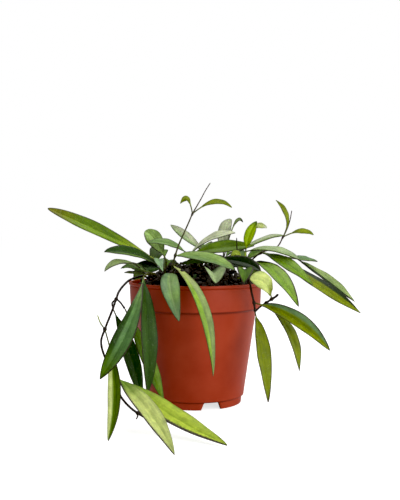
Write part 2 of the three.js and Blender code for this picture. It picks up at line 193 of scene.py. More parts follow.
# The part of a noise's range in which nearly all its values lie
NOISE_SPAN = (0.3, 0.7)

# Lights: name, place in m, size in m and power in W
LIGHTS = (
    ("key", (0.7, -0.75, 0.45), 1.0, 10),
    ("side", (1.0, 0.0, 0.3), 0.7, 4),
    ("top", (0.0, 0.25, 1.0), 0.7, 6),
)
LIGHT_TARGET = (0, -0.01, 0.07)
WORLD_LIGHT = 0.4
FLOOR_HALF_SIZE = 6
FLOOR_GREY = 0.7
FLOOR_GLOW = 0.72
BLACK_LEVEL = 0.008

# Camera about the pot's axis: place in mm, pitch down in radians, lens and sensor in mm
CAMERA_PLACE = (3.6, -650, 142.7)
CAMERA_PITCH = 0.0332
CAMERA_LENS = 58.5
CAMERA_SENSOR = 36
CAMERA_NEAR = 0.01

# Colours of leaf halves, undersides and stems, as sRGB. Many leaf greens also carry painted light and
# shade: pale ones the light on lit sides, the darkest ones the shade on shaded sides and leaves
PALETTE = {
    # A near-black green that paints shade, for leaves, leaf halves and leaf ends that lie in shade
    "deep": (26, 46, 6),
    # Teal green with a painted sheen, for a leaf half that catches the light
    "glossy": (96, 132, 78),
    "grass": (104, 140, 24),
    "fern": (88, 118, 46),
    "straw": (200, 212, 132),
    "apple": (158, 188, 112),
    "spring": (140, 172, 78),
    "moss": (146, 166, 106),
    "mint": (140, 172, 128),
    "silver": (178, 190, 152),
    "forest": (62, 90, 40),
    "mid": (96, 130, 40),
    "bright": (112, 142, 14),
    "fresh": (128, 160, 70),
    "lime": (182, 202, 90),
    "cream": (212, 224, 150),
    "pale": (164, 184, 134),
    "ivory": (226, 234, 196),
    "leafy": (94, 124, 16),
    "vivid": (164, 194, 44),
    "amber": (122, 136, 12),
    "sage": (122, 152, 90),
    "teal": (112, 142, 96),
    "olive": (118, 120, 38),
    "young": (128, 142, 40),
    "pine": (40, 70, 12),
    "peat": (50, 40, 28),
    "rust": (74, 46, 36),
    "ash": (112, 96, 104),
    "perlite": (206, 202, 194),
    "bark": (74, 52, 36),
    "twig": (44, 34, 26),
    "shoot": (62, 48, 42),
    "stalk": (92, 96, 48),
}


def linear(name):
    """Scene-linear colour of a palette entry."""
    shares = [value / 255 for value in PALETTE[name]]
    return np.array([s / 12.92 if s <= 0.04045 else ((s + 0.055) / 1.055) ** 2.4 for s in shares])


def leaf(at, middle, tip, halves, width=13, petiole=5, roll=0, fold=16, **looks):
    """A leaf from its stem through its middle to its tip. Halves are the colours of its two sides.

    Roll and fold are in degrees. Wide is the share of the blade at which it is widest, and full is
    lower for blunter ends. The halves are the leaf's own greens with the light and shade on each side
    painted in. Start is the colour near the stem, end the colour near the tip; dark ones paint shade
    on that end and pale ones in part paint light. Margin holds the widths in mm of the dark margins
    of the two sides, and the widest margins also paint shade along their edge. Crease is how far the
    line between the colours lies from the midrib. Rib is the strength of a pale midrib, flecks that
    of flecks.
    the colours lies from the midrib. Rib is the strength of a pale midrib, flecks that of flecks.
    """
    data = {"at": at, "middle": middle, "tip": tip, "halves": halves, "width": width}
    data.update(petiole=petiole, roll=roll, fold=fold)
    data.update(wide=0.5, full=0.8, start=None, end=None, crease=0.0)
    data.update(margin=(0.35, 0.35), rib=0.0, flecks=0.06)
    data.update(looks)
    return data


def twig(at, radius, route, *leaves, colours=("twig", "twig")):
    """A twig from the given place of its stem, with its radius at both ends and its leaves."""
    return {"at": at, "radius": radius, "route": route, "leaves": leaves, "colours": colours}


STEMS = {
    "stem_trailing_left": {
        "root": (-37, -4),
        "radius": (1.3, 1.1),
        "colours": ("twig", "twig"),
        "route": [
            (-41, -6, 100.5), (-51, -11, 98.2), (-56, -18, 94), (-59, -26, 89.5), (-60, -35, 85),
            (-62, -47, 77), (-66, -58, 65), (-68, -64, 57), (-65, -69, 47), (-55, -77, 33),
            (-53, -83, 23), (-50, -80, 17), (-45, -74, 10), (-41, -72, 6.5), (-37, -70, 3.5),
            (-31, -73, 1.6),
        ],
        "leaves": [
            leaf(6, (-54, -98, 29), (-56, -127, 1.2), ("cream", "leafy"), width=9, petiole=14,
                 fold=45, roll=15, crease=0.35, margin=(0.15, 0.5), full=0.7, flecks=0),
            leaf(9, (-31, -118, 19), (-12, -159, 1.4), ("straw", "straw"), width=14, roll=10,
                 petiole=4, margin=(0.9, 0.25), wide=0.45, start="fresh", flecks=0),
            leaf(9, (-16, -106, 12.5), (21, -138, 1.4), ("lime", "lime"), width=17, roll=20,
                 petiole=4, margin=(2.6, 0.25), wide=0.45, start="spring", flecks=0),
        ],
        "twigs": [
            twig(4, (1, 0.9), [(-63, -35, 82), (-62, -36, 77)],
                 leaf(1, (-49, -49, 47), (-39.5, -50, 11), ("pine", "pine"), width=12, roll=35)),
            twig(4, (1, 0.9), [(-57, -37, 83), (-53, -39, 78)],
                 leaf(1, (-37, -42, 43), (-24, -40, 8), ("mid", "fresh"), width=11, roll=60)),
            twig(6, (0.8, 0.6), [(-69, -60, 70), (-71, -61, 76)], colours=("twig", "straw")),
            twig(13, (0.8, 0.7), [(-41, -74, 4.5), (-42, -76, 3)]),
        ],
    },
    "stem_drooping_left": {
        "root": (-29, -17),
        "radius": (1.3, 1.1),
        "colours": ("bark", "stalk"),
        "route": [(-32, -22, 103), (-36, -31, 104), (-39, -38, 102.5)],
        "leaves": [
            leaf(2, (-46.3, -80, 69.5), (-66, -88, 34), ("pine", "glossy"), width=14, petiole=4,
                 roll=-22, fold=24, crease=0.4, margin=(0.5, 0.9), start="sage", end="mid", wide=0.6),
            leaf(2, (-34.3, -64, 60), (-35, -56, 16), ("forest", "forest"), width=14, petiole=4,
                 roll=-20, fold=22, margin=(0.7, 0.5), wide=0.45, full=0.85),
            leaf(1, (-53, -39, 112.5), (-67, -50, 107), ("moss", "moss"), width=12, roll=-10,
                 rib=0.5, margin=(0.3, 0.5)),
            leaf(0, (-46.5, -31, 109), (-56, -39, 108.5), ("olive", "teal"), width=9, roll=30),
            leaf(0, (-46, -25, 104), (-54, -31, 105), ("bark", "bark"), width=6, roll=20, petiole=4),
        ],
    },
    "stem_left": {
        "root": (-24, -6),
        "radius": (1.3, 1.1),
        "colours": ("bark", "stalk"),
        "route": [(-25, -8, 106), (-26, -9, 111)],
        "leaves": [
            leaf(1, (-71, -16, 134), (-114, -22, 154), ("leafy", "bright"), width=13, roll=-50,
                 start="lime", end="olive", margin=(0.7, 0.2), wide=0.62, full=0.68),
            leaf(0, (-47, -27, 119), (-68, -43, 121), ("pine", "fern"), width=13, roll=-40,
                 start="deep", crease=-0.6, margin=(0.5, 0.3)),
            leaf(0, (-36.5, -13, 107.6), (-50, -17, 107.5), ("deep", "forest"), width=11, petiole=4,
                 roll=-60),
            leaf(1, (-28, -28, 114), (-24, -44, 106), ("mint", "mint"), width=8, wide=0.4),
        ],
    },
    "stem_tall_shoot": {
        "root": (-17, -9),
        "radius": (1.3, 0.5),
        "colours": ("stalk", "shoot"),
        "route": [
            (-18, -9, 103), (-18, -7, 109), (-16, -7, 117), (-13, -6, 126), (-9, -5, 135),
            (-5, -4, 144), (-2.4, -4, 150), (1.6, -3, 157), (4.5, -2, 162), (7.6, 0, 168),
            (12, 2, 175),
        ],
        "leaves": [
            leaf(0, (-18.5, -55, 96.6), (-11.5, -67, 72), ("teal", "sage"), width=14, fold=9,
                 end="teal", wide=0.45, full=0.65, crease=0.3, rib=0.25, margin=(0.3, 0.4)),
            leaf(1, (4.5, -71, 84), (13, -66, 32), ("spring", "moss"), width=10, petiole=3,
                 start="straw", full=0.6, wide=0.45, margin=(0.3, 0.5)),
            leaf(2, (9.5, -23, 115), (30, -36, 107), ("sage", "apple"), width=13, roll=30, petiole=1,
                 margin=(0.4, 0.9), full=0.65),
            leaf(1, (4, -18, 112), (23, -26, 110), ("deep", "deep"), width=11, roll=-20),
            leaf(6, (-6.3, -5, 161.5), (-12, -7, 158), ("young", "young"), width=4.5, petiole=3,
                 roll=-60, flecks=0, margin=(0, 0)),
            leaf(6, (15, 0, 159.5), (29, 4, 155), ("young", "young"), width=5, petiole=6, roll=60,
                 flecks=0, margin=(0, 0)),
        ],
    },
    "stem_centre": {
        "root": (3, 2),
        "radius": (1.3, 1.1),
        "colours": ("bark", "stalk"),
        "route": [(4, 0, 105), (0, 2, 113), (-5, 4, 117)],
        "leaves": [
            leaf(0, (13.5, -41, 105), (15, -64, 99), ("pale", "pale"), width=16, fold=36, petiole=22,
                 start="deep", full=0.6, wide=0.42),
            leaf(0, (21, 10, 109.5), (41, 13, 106.5), ("deep", "forest"), width=10, roll=50),
            leaf(2, (20, 9, 122.4), (48, 13, 124), ("leafy", "leafy"), width=13, roll=50,
                 margin=(0.5, 0.3)),
            leaf(1, (33, -17, 112.8), (49.5, -38, 105.8), ("deep", "deep"), width=10, petiole=12,
                 roll=45, margin=(0.2, 1.0)),
            leaf(2, (11.5, -11, 129.5), (31, -20, 135), ("ivory", "ivory"), width=12, roll=35,
                 petiole=2, margin=(0.5, 0.2), full=0.6),
            leaf(2, (-21, 6, 125.5), (-39, 4, 127), ("sage", "sage"), width=10, roll=-30,
                 margin=(0.5, 0.2)),
        ],
    },
    "stem_short_right": {
        "root": (34, -7),
        "radius": (1.3, 1),
        "colours": ("young", "lime"),
        "route": [(36, -6, 105), (39, -4, 112), (40, -2, 120)],
        "leaves": [
            leaf(2, (43.3, -2, 133.5), (49, 0, 144), ("vivid", "vivid"), width=8.5, roll=60,
                 petiole=3, end="leafy", margin=(0.2, 0.2), wide=0.45, full=0.75),
            leaf(2, (46.3, 3, 138), (57.4, 3, 138.8), ("straw", "cream"), width=5, roll=60, petiole=14,
                 end="ivory", margin=(0, 0), full=0.6),
            leaf(1, (33.5, -2, 118.5), (28.5, -3, 116), ("lime", "lime"), width=5, petiole=3,
                 roll=-60, flecks=0, margin=(0, 0)),
            leaf(1, (48, 8, 117.8), (59, 11, 121.5), ("leafy", "fern"), width=8, petiole=4, roll=40),
            leaf(0, (37.5, -40, 106.5), (35.5, -60, 98.5), ("fern", "fern"), width=13, fold=34,
                 petiole=18, start="deep", margin=(1.2, 1.2), wide=0.42),
            leaf(2, (60, -13, 121), (80, -27, 114.5), ("leafy", "pale"), width=13, roll=15,
                 petiole=3, crease=0.62, margin=(0.3, 0.2)),
        ],
        "twigs": [twig(1, (0.8, 0.6), [(34, 0, 118), (33, 3, 131)])],
    },
    "stem_right": {
        "root": (42, 5),
        "radius": (1.3, 0.5),
        "colours": ("bark", "shoot"),
        "route": [
            (43, 4, 104), (45, 4, 112), (53, 2, 119), (65.6, 4, 123.5), (70.6, 6, 131.4),
            (74, 7, 138), (76.4, 8, 145), (78, 9, 153),
        ],
        "leaves": [
            leaf(2, (69, -25, 111.5), (88, -44, 96), ("grass", "fresh"), width=12, roll=20,
                 crease=0.1, margin=(0.5, 0.3)),
            leaf(1, (61, -37, 104.3), (74.5, -67, 82.5), ("fresh", "spring"), width=13, roll=10,
                 margin=(0.4, 1.1)),
            leaf(0, (54.5, -10, 110.5), (70, -20, 104.5), ("deep", "leafy"), width=12, roll=-10),
            leaf(4, (73.5, 5, 147), (64.5, 4, 161), ("young", "young"), width=5, petiole=8, roll=-70,
                 flecks=0, margin=(0, 0)),
            leaf(4, (85, 9, 136), (96, 12, 133), ("young", "young"), width=5, petiole=6, roll=60,
                 flecks=0, margin=(0, 0)),
        ],
        "twigs": [
            twig(2, (1.2, 1), [(62, -2, 117), (72, 0, 115), (80, 2, 115)],
                 leaf(0, (92, -40, 96), (121, -58, 77), ("amber", "deep"), width=13, roll=20,
                      margin=(0.2, 0.5), crease=-0.45),
                 leaf(1, (83, -3, 114), (97, -5, 112), ("sage", "teal"), width=9, roll=20),
                 leaf(2, (102, -12, 99), (123, -24, 82), ("deep", "moss"), width=12, roll=15,
                      crease=0.1),
                 colours=("stalk", "stalk")),
        ],
    },
    "stem_trailing_right": {
        "root": (35, -22),
        "radius": (1.3, 1.1),
        "colours": ("bark", "twig"),
        "route": [
            (37, -29, 102), (39, -38, 101.5), (41, -44, 97), (42, -47, 91), (44, -44, 83),
            (45, -41, 76),
        ],
        "leaves": [
            leaf(4, (72, -56, 72), (98, -62, 50), ("amber", "teal"), width=13, roll=45, fold=30,
                 margin=(0.4, 0.9), crease=-0.35),
            leaf(5, (50, -50, 45), (54, -52, 10), ("amber", "amber"), width=14, petiole=4,
                 margin=(0.5, 1.0), wide=0.45),
        ],
        "twigs": [
            twig(5, (0.9, 1.3),
                 [(49, -42, 80), (53, -44, 83), (57, -46, 86), (60, -47, 88), (62, -47, 90)],
                 leaf(2, (51, -56, 98), (40, -60, 102), ("straw", "straw"), width=16, roll=-70,
                      petiole=3, start="amber", full=0.6, margin=(0, 0), flecks=0),
                 leaf(1, (70, -50, 61), (77, -52, 33), ("amber", "amber"), width=11, roll=25,
                      margin=(0.3, 0.9))),
        ],
    },
    "stem_back_left": {
        "root": (-23, 14),
        "radius": (1.3, 1.1),
        "colours": ("bark", "stalk"),
        "route": [(-24, 13, 105), (-24, 11, 112)],
        "leaves": [
            leaf(1, (-33, 18, 128), (-42, 25, 136), ("apple", "apple"), width=13, roll=-50, full=0.65,
                 margin=(0.3, 0.7)),
            leaf(1, (-31, 38, 119), (-38, 58, 104), ("mid", "fresh"), width=14, roll=10),
            leaf(0, (-44, 38, 106), (-49, 52, 72), ("forest", "mid"), width=14, roll=-15),
            leaf(0, (-23, 54, 105), (-26, 66, 58), ("mid", "mid"), width=14, roll=12),
        ],
    },
    "stem_back_middle": {
        "root": (3, 22),
        "radius": (1.3, 1.1),
        "colours": ("bark", "stalk"),
        "route": [(5, 21, 105), (6, 17, 113), (8, 12, 118)],
        "leaves": [
            leaf(2, (-6.5, 20.5, 130.5), (-21, 30, 141), ("ivory", "pale"), width=8, roll=-50,
                 margin=(0.4, 0.2)),
            leaf(2, (8, 38, 124), (12, 60, 116), ("fresh", "mid"), width=13, roll=-12),
            leaf(1, (20, 48, 112), (28, 64, 86), ("forest", "forest"), width=13, roll=14),
            leaf(0, (-2, 56, 106), (-5, 66, 62), ("mid", "fresh"), width=14, roll=-8),
        ],
    },
    "stem_back_right": {
        "root": (27, 18),
        "radius": (1.3, 1.1),
        "colours": ("bark", "stalk"),
        "route": [(26, 18, 105), (23, 19, 113)],
        "leaves": [
            leaf(1, (24.3, 22, 134.4), (30, 21, 145.2), ("ivory", "ivory"), width=13, roll=35,
                 full=0.6, margin=(0.3, 0.3), wide=0.42),
            leaf(1, (32, 24, 141.4), (39.2, 24, 143.3), ("moss", "moss"), width=3, petiole=15,
                 roll=60, end="deep"),
            leaf(1, (55, 23.5, 128), (74, 28, 132), ("fresh", "silver"), width=8, roll=20),
            leaf(1, (34, 40, 117), (43, 58, 104), ("sage", "mid"), width=13, roll=-16),
            leaf(0, (46, 40, 104), (49, 50, 66), ("mid", "forest"), width=14, roll=10),
        ],
    },
    "stem_trailing_back": {
        "root": (13, 34),
        "radius": (1.3, 1.1),
        "colours": ("bark", "stalk"),
        "route": [
            (13, 38, 101), (14, 49, 100.5), (16, 57, 96), (17, 60, 88), (15, 59, 76),
            (13, 56, 64),
        ],
        "leaves": [
            leaf(3, (29, 65, 66), (35, 60, 34), ("fresh", "mid"), width=13, roll=-30),
            leaf(4, (0, 64, 57), (-7, 58, 26), ("mid", "fresh"), width=13, roll=25),
            leaf(5, (20, 59, 36), (23, 51, 8), ("forest", "mid"), width=12, roll=-12),
            leaf(5, (6, 59, 40), (3, 52, 14), ("mid", "mid"), width=11, roll=15),
        ],
    },
}


def unit(vectors):
    return vectors / np.linalg.norm(vectors, axis=-1, keepdims=True)


def smooth(values, low, high):
    share = np.clip((values - low) / (high - low), 0, 1)
    return share * share * (3 - 2 * share)


def lerp(a, b, share):
    return a + (b - a) * share


def turns(count):
    """Angles of so many equal steps round a circle."""
    return np.linspace(0, 2 * np.pi, count, endpoint=False)


def link(item):
    bpy.context.scene.collection.objects.link(item)


class Shells:
    """Closed shells gathered into one piece, with a colour and some numbers at each vertex."""

    NUMBERS = ("edge", "rib", "flecks", "inset", "along", "across")

    def __init__(self):
        self.points, self.faces, self.tints = [], [], []
        self.numbers = {name: [] for name in self.NUMBERS}
        self.count = 0

    def add(self, points, faces, tint=(0, 0, 0), **numbers):
        points = np.asarray(points).reshape(-1, 3)
        self.points.append(points)
        self.faces.extend(tuple(i + self.count for i in face) for face in faces)
        self.tints.append(np.broadcast_to(tint, points.shape))
        for name in self.NUMBERS:
            values = np.asarray(numbers.get(name, 0.0), float)
            self.numbers[name].append(np.broadcast_to(values.reshape(-1), (len(points),)))
        self.count += len(points)

    def mesh(self, name):
        """The shells as one mesh in metres, with the numbers kept at its vertices."""
        points = np.concatenate(self.points) * MM + AXIS
        mesh = bpy.data.meshes.new(name)
        mesh.from_pydata(points.tolist(), [], self.faces)
        tints = np.concatenate(self.tints)
        colour = mesh.attributes.new("tint", "FLOAT_COLOR", "POINT")
        colour.data.foreach_set("color", np.c_[tints, np.ones(len(tints))].ravel())
        for key, values in self.numbers.items():
            layer = mesh.attributes.new(key, "FLOAT", "POINT")
            layer.data.foreach_set("value", np.concatenate(values))
        mesh.validate()
        return mesh

    def build(self, name, material, slot, *nodes):
        """The piece, riding on the part's body and standing for the given solids."""
        mesh = self.mesh(name)
        mesh.materials.append(material)
        mesh.shade_smooth()
        piece = bpy.data.objects.new(name, mesh)
        link(piece)
        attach(piece, "root")
        if nodes:
            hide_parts(*nodes)
        return piece


def ring_faces(rings, sides):
    """Faces of a closed loft through rings of points, with a flat face at each end."""
    faces = []
    for r in range(rings - 1):
        for i in range(sides):
            j = (i + 1) % sides
            a, b = r * sides + i, r * sides + j
            faces.append((a, b, b + sides, a + sides))
    faces.append(tuple(reversed(range(sides))))
    faces.append(tuple(range((rings - 1) * sides, rings * sides)))
    return faces


def blade_width(u, wide, full):
    """Share of a leaf's full width at a place on its blade."""
    return np.sin(np.pi * np.clip(u, 0, 1) ** (math.log(0.5) / math.log(wide))) ** full


def leaf_axis(base, data, t):
    """Centres, sides and normals along a leaf: a parabola through its stem, middle and tip."""
    middle, tip = np.array(data["middle"], float), np.array(data["tip"], float)
    control = 2 * middle - (base + tip) / 2
    chord = unit(tip - base)
    across = unit(np.cross(chord, UP))
    above = np.cross(across, chord)
    t = t[:, None]
    centre = (1 - t) ** 2 * base + 2 * t * (1 - t) * control + t**2 * tip
    along = unit(2 * (1 - t) * (control - base) + 2 * t * (tip - control))
    turn = np.radians(data["roll"])
    normal = above * np.cos(turn) + across * np.sin(turn)
    normal = unit(normal - np.sum(normal * along, axis=1, keepdims=True) * along)
    return centre, np.cross(along, normal), normal


def leaf_places(start):
    """Places along a leaf, from -1 at the stem through 0 at its blade's start to 1 at the tip.

    The second list holds the same places as shares of the whole leaf, of which the stalk is start.
    """
    blade = (1 - np.cos(np.linspace(0, np.pi, BLADE_STATIONS))) / 2
    u = np.concatenate([np.linspace(-1, 0, PETIOLE_STATIONS, endpoint=False), blade])
    return u, np.where(u < 0, start * (1 + u), start + (1 - start) * np.clip(u, 0, 1))


def section_places():
    """Places across a leaf, once round its section, and which side of the blade each is on."""
    half = np.array(HALF_SECTION)
    top = np.concatenate([-half[::-1], half[1:]])
    under = top[::-1][1:-1]
    return np.concatenate([top, under]), np.r_[np.ones(len(top)), -np.ones(len(under))]


def leaf_tint(data, u, v, face):
    """Colour at each point of a leaf: halves and ends with painted light and shade, underside, stalk.
    """
    plus, minus = linear(data["halves"][0]), linear(data["halves"][1])
    share = smooth(v + 0 * u, data["crease"] - CREASE_BLUR, data["crease"] + CREASE_BLUR)
    tint = lerp(minus, plus, share[..., None])
    if data["start"]:
        tint = lerp(linear(data["start"]), tint, (smooth(u, 0.05, 0.4) + 0 * v)[..., None])
    if data["end"]:
        tint = lerp(tint, linear(data["end"]), (smooth(u, 0.65, 0.95) + 0 * v)[..., None])
    underside = lerp(tint, linear(UNDERSIDE_COLOUR), UNDERSIDE_SHARE)
    tint = np.where(face[None, :, None] > 0, tint, underside)
    return lerp(linear("stalk"), tint, (smooth(u, -0.3, 0.06) + 0 * v)[..., None])


def leaf_numbers(data, u, v, half):
    """The numbers that shade a leaf: nearness of its edge and midrib, and its flecks."""
    far = np.abs(v)
    across = v * half
    inset = np.where(u < BLADE_START, FAR_FROM_EDGE, (1 - far) * half)
    margin = np.where(v > 0, data["margin"][0], data["margin"][1])
    edge = np.where(margin > 0, (1 - far) * half / np.maximum(margin, 0.01), FAR_FROM_EDGE)
    edge = np.where(u < BLADE_START, FAR_FROM_EDGE, edge)
    rib = data["rib"] * np.exp(-((across / RIB_COLOUR_HALF_WIDTH) ** 2)) * smooth(u, 0.05, 0.2)
    flecks = data["flecks"] * smooth(u, *OPENING) + 0 * v
    return {"inset": inset, "edge": edge, "rib": rib, "flecks": flecks, "across": across}


def add_leaf(shells, base, data, seed):
    """Adds one leaf: a round stalk that opens into a grooved, folded and slightly waved blade."""
    rng = np.random.default_rng(seed)
    length = np.linalg.norm(np.array(data["tip"], float) - base)
    u, t = leaf_places(data["petiole"] / length)
    centre, side, normal = leaf_axis(base, data, t)
    v, face = section_places()
    u, v = u[:, None], v[None, :]
    far = np.abs(v)
    open_share = smooth(u, *OPENING)
    stalk_share = 1 - smooth(u, 0.02, 0.2)

    # Half the width, slightly uneven along the blade
    wobble = 1 + 0.03 * np.sin(5 * u + rng.uniform(0, 6)) + 0.015 * np.sin(17 * u + rng.uniform(0, 6))
    half = data["width"] / 2 * blade_width(u, data["wide"], data["full"]) * wobble
    half = np.hypot(half, PETIOLE_RADIUS * stalk_share) + TIP_HALF_WIDTH * smooth(u, 0.8, 1)

    # Half the thickness, largest at the midrib
    core = lerp(MIDRIB_HALF_THICKNESS, MIDRIB_HALF_THICKNESS_AT_TIP, np.clip(u, 0, 1) ** 3)
    edge = lerp(EDGE_HALF_THICKNESS, EDGE_HALF_THICKNESS_AT_TIP, np.clip(u, 0, 1) ** 6)
    blade_thick = lerp(core, edge, far**1.3) * np.sqrt(1 - far**10)
    stalk_thick = PETIOLE_RADIUS * np.sqrt(1 - far**2)
    thick = lerp(stalk_thick, blade_thick, open_share)

    # Height over the leaf's axis: fold, waves at the edges and the groove
    round_fold = (np.sqrt(far**2 + FOLD_ROUNDING) - FOLD_OFFSET) / FOLD_RANGE
    puff = LEAF_PUFF * np.sin(np.pi * far)
    slope = math.tan(math.radians(data["fold"]))
    phase = rng.uniform(0, 6, 2)
    ripple = np.sin(9 * u + phase[0] + (v > 0) * 1.7) + 0.5 * np.sin(21 * u + phase[1])
    rise = half * (round_fold * slope + puff) + LEAF_WAVE * ripple * far**2
    rise = rise * open_share
    groove = MIDRIB_GROOVE * np.exp(-((v * half / MIDRIB_GROOVE_HALF_WIDTH) ** 2))
    groove = groove * open_share * (1 - smooth(u, 0.8, 1))
    up = rise + face * thick - np.where(face > 0, groove, -0.6 * groove)

    across = v * half
    points = (
        centre[:, None] + across[..., None] * side[:, None] + up[..., None] * normal[:, None]
    )
    rings, sides = points.shape[:2]
    shells.add(
        points, ring_faces(rings, sides), leaf_tint(data, u, v, face).reshape(-1, 3),
        along=t[:, None] * length + SEED_SHIFT * seed + 0 * v, **leaf_numbers(data, u, v, half),
    )


def catmull_rom(points, places):
    """Points on a centripetal Catmull-Rom curve, at places from 0 to the number of spans."""
    points = np.asarray(points, float)
    ends = np.vstack([2 * points[0] - points[1], points, 2 * points[-1] - points[-2]])
    result = []
    for place in places:
        span = min(int(place), len(points) - 2)
        w = place - span
        p = ends[span:span + 4]
        d = [max(np.linalg.norm(p[k + 1] - p[k]) ** 0.5, 1e-4) for k in range(3)]
        t1 = (p[1] - p[0]) / d[0] - (p[2] - p[0]) / (d[0] + d[1]) + (p[2] - p[1]) / d[1]
        t2 = (p[2] - p[1]) / d[1] - (p[3] - p[1]) / (d[1] + d[2]) + (p[3] - p[2]) / d[2]
        t1, t2 = t1 * d[1], t2 * d[1]
        a = 2 * p[1] - 2 * p[2] + t1 + t2
        b = -3 * p[1] + 3 * p[2] - 2 * t1 - t2
        result.append(a * w**3 + b * w**2 + t1 * w + p[1])
    return np.array(result)


def tube_places(points):
    """Places along a stem, at least two to a span and about one step apart."""
    lengths = np.linalg.norm(np.diff(np.asarray(points, float), axis=0), axis=1)
    places = [0.0]
    for span, length in enumerate(lengths):
        parts = max(2, round(length / STEM_STEP))
        places.extend(span + (k + 1) / parts for k in range(parts))
    return np.array(places)


def add_tube(shells, points, radii, colours, knots, seed):
    """Adds a round stem through the points, thicker at its knots, with a rounded end."""
    places = tube_places(points)
    centre = catmull_rom(points, places)
    along = unit(np.gradient(centre, axis=0))
    rng = np.random.default_rng(seed)
    share = places / (len(points) - 1)
    radius = STEM_SLIMNESS * lerp(radii[0], radii[1], share)
    travelled = np.r_[0, np.cumsum(np.linalg.norm(np.diff(centre, axis=0), axis=1))]
    dark = np.zeros(len(places))
    for knot in knots:
        where = np.interp(knot, places, travelled)
        at_knot = np.exp(-(((travelled - where) / KNOT_HALF_LENGTH) ** 2))
        radius = radius * (1 + KNOT_SWELLING * at_knot)
        dark = np.maximum(dark, at_knot)
    radius = radius * (1 + STEM_UNEVENNESS * np.sin(travelled * 1.3 + rng.uniform(0, 6)))
    closing = np.clip((travelled[-1] - travelled) / radius, 0, 1)
    radius = radius * np.sqrt(np.clip(1 - (1 - closing) ** 2, 0.02, 1))
    # A first direction that no stem starts along; each ring then takes over that of the last
    right = np.array([0.8, 0.5, 0.33])
    rings = []
    angles = turns(STEM_SIDES)
    for point, direction, size in zip(centre, along, radius):
        right = unit(right - right @ direction * direction)
        front = np.cross(direction, right)
        circle = np.cos(angles)[:, None] * right + np.sin(angles)[:, None] * front
        rings.append(point + size * circle)
    tint = lerp(linear(colours[0]), linear(colours[1]), share[:, None, None])
    tint = lerp(tint, linear("twig"), KNOT_DARKNESS * dark[:, None, None])
    tint = np.broadcast_to(tint, (len(rings), STEM_SIDES, 3)).reshape(-1, 3)
    faces = ring_faces(len(rings), STEM_SIDES)
    shells.add(rings, faces, tint, edge=FAR_FROM_EDGE, inset=FAR_FROM_EDGE)


def add_branch(shells, first, branch, seed):
    """Adds a stem or twig from its first points on, with its leaves and twigs."""
    route = [np.array(point, float) for point in branch["route"]]
    growths = [*branch["leaves"], *branch.get("twigs", ())]
    knots = sorted({growth["at"] + len(first) for growth in growths})
    add_tube(shells, [*first, *route], branch["radius"], branch["colours"], knots, seed)
    for index, data in enumerate(branch["leaves"]):
        add_leaf(shells, route[data["at"]], data, seed * 31 + index)
    for index, data in enumerate(branch.get("twigs", ())):
        add_branch(shells, [route[data["at"]]], data, seed * 17 + index + 1)


def soil_height(x, y):
    """Height of the soil: a low mound with lumps, level at the pot's wall."""
    reach = np.minimum(1, np.hypot(x, y) / LIP_RADIUS)
    fine = np.sin(0.55 * x + 1) * np.cos(0.47 * y)
    broad = np.sin(0.31 * (x - y) + 2)
    lumps = SOIL_LUMP * (fine + broad) * (1 - reach**4)
    return SOIL_RIM + SOIL_DOME * (1 - reach**2) + lumps


def make_stems(material):
    for seed, (name, stem) in enumerate(STEMS.items()):
        shells = Shells()
        x, y = stem["root"]
        surface = soil_height(x, y)
        heights = (surface - STEM_DEPTH, surface, surface + STRAIGHT_ABOVE_SOIL)
        first = [np.array([x, y, z], float) for z in heights]
        add_branch(shells, first, stem, seed + 1)
        shells.build(name.replace("stem", "leafy_stem"), material, "foliage", name)


def circles(radius, height, angles):
    """Rings of points about the pot's axis. An angle runs from the front of the pot to its right."""
    height = np.broadcast_to(height, (len(radius), len(angles)))
    return np.stack([radius * np.sin(angles), -radius * np.cos(angles), height], axis=-1)


def rounded(profile, radius):
    """A profile with its inner corners rounded off."""
    points = [np.array(point, float) for point in profile]
    result = [points[0]]
    for before, corner, after in zip(points, points[1:], points[2:]):
        edges = (before - corner, after - corner)
        cut = min(radius, *(np.linalg.norm(edge) / CORNER_PARTS for edge in edges))
        a, b = (corner + unit(edge) * cut for edge in edges)
        for k in range(CORNER_STEPS + 1):
            w = k / CORNER_STEPS
            result.append((1 - w) ** 2 * a + 2 * w * (1 - w) * corner + w**2 * b)
    result.append(points[-1])
    return result


def notch_lift(angles):
    """Height of the foot ring's lower edge at each angle: lifted inside the notches."""
    lift = np.zeros_like(angles)
    top, bottom = NOTCH_TOP_WIDTH / 2, NOTCH_BOTTOM_WIDTH / 2
    for degrees in NOTCH_ANGLES:
        turned = (angles - math.radians(degrees) + np.pi) % (2 * np.pi) - np.pi
        across = np.abs(turned) * FOOT_RADIUS
        inside = np.clip((bottom - across) / (bottom - top), 0, 1)
        lift = np.maximum(lift, NOTCH_HEIGHT * inside)
    return lift


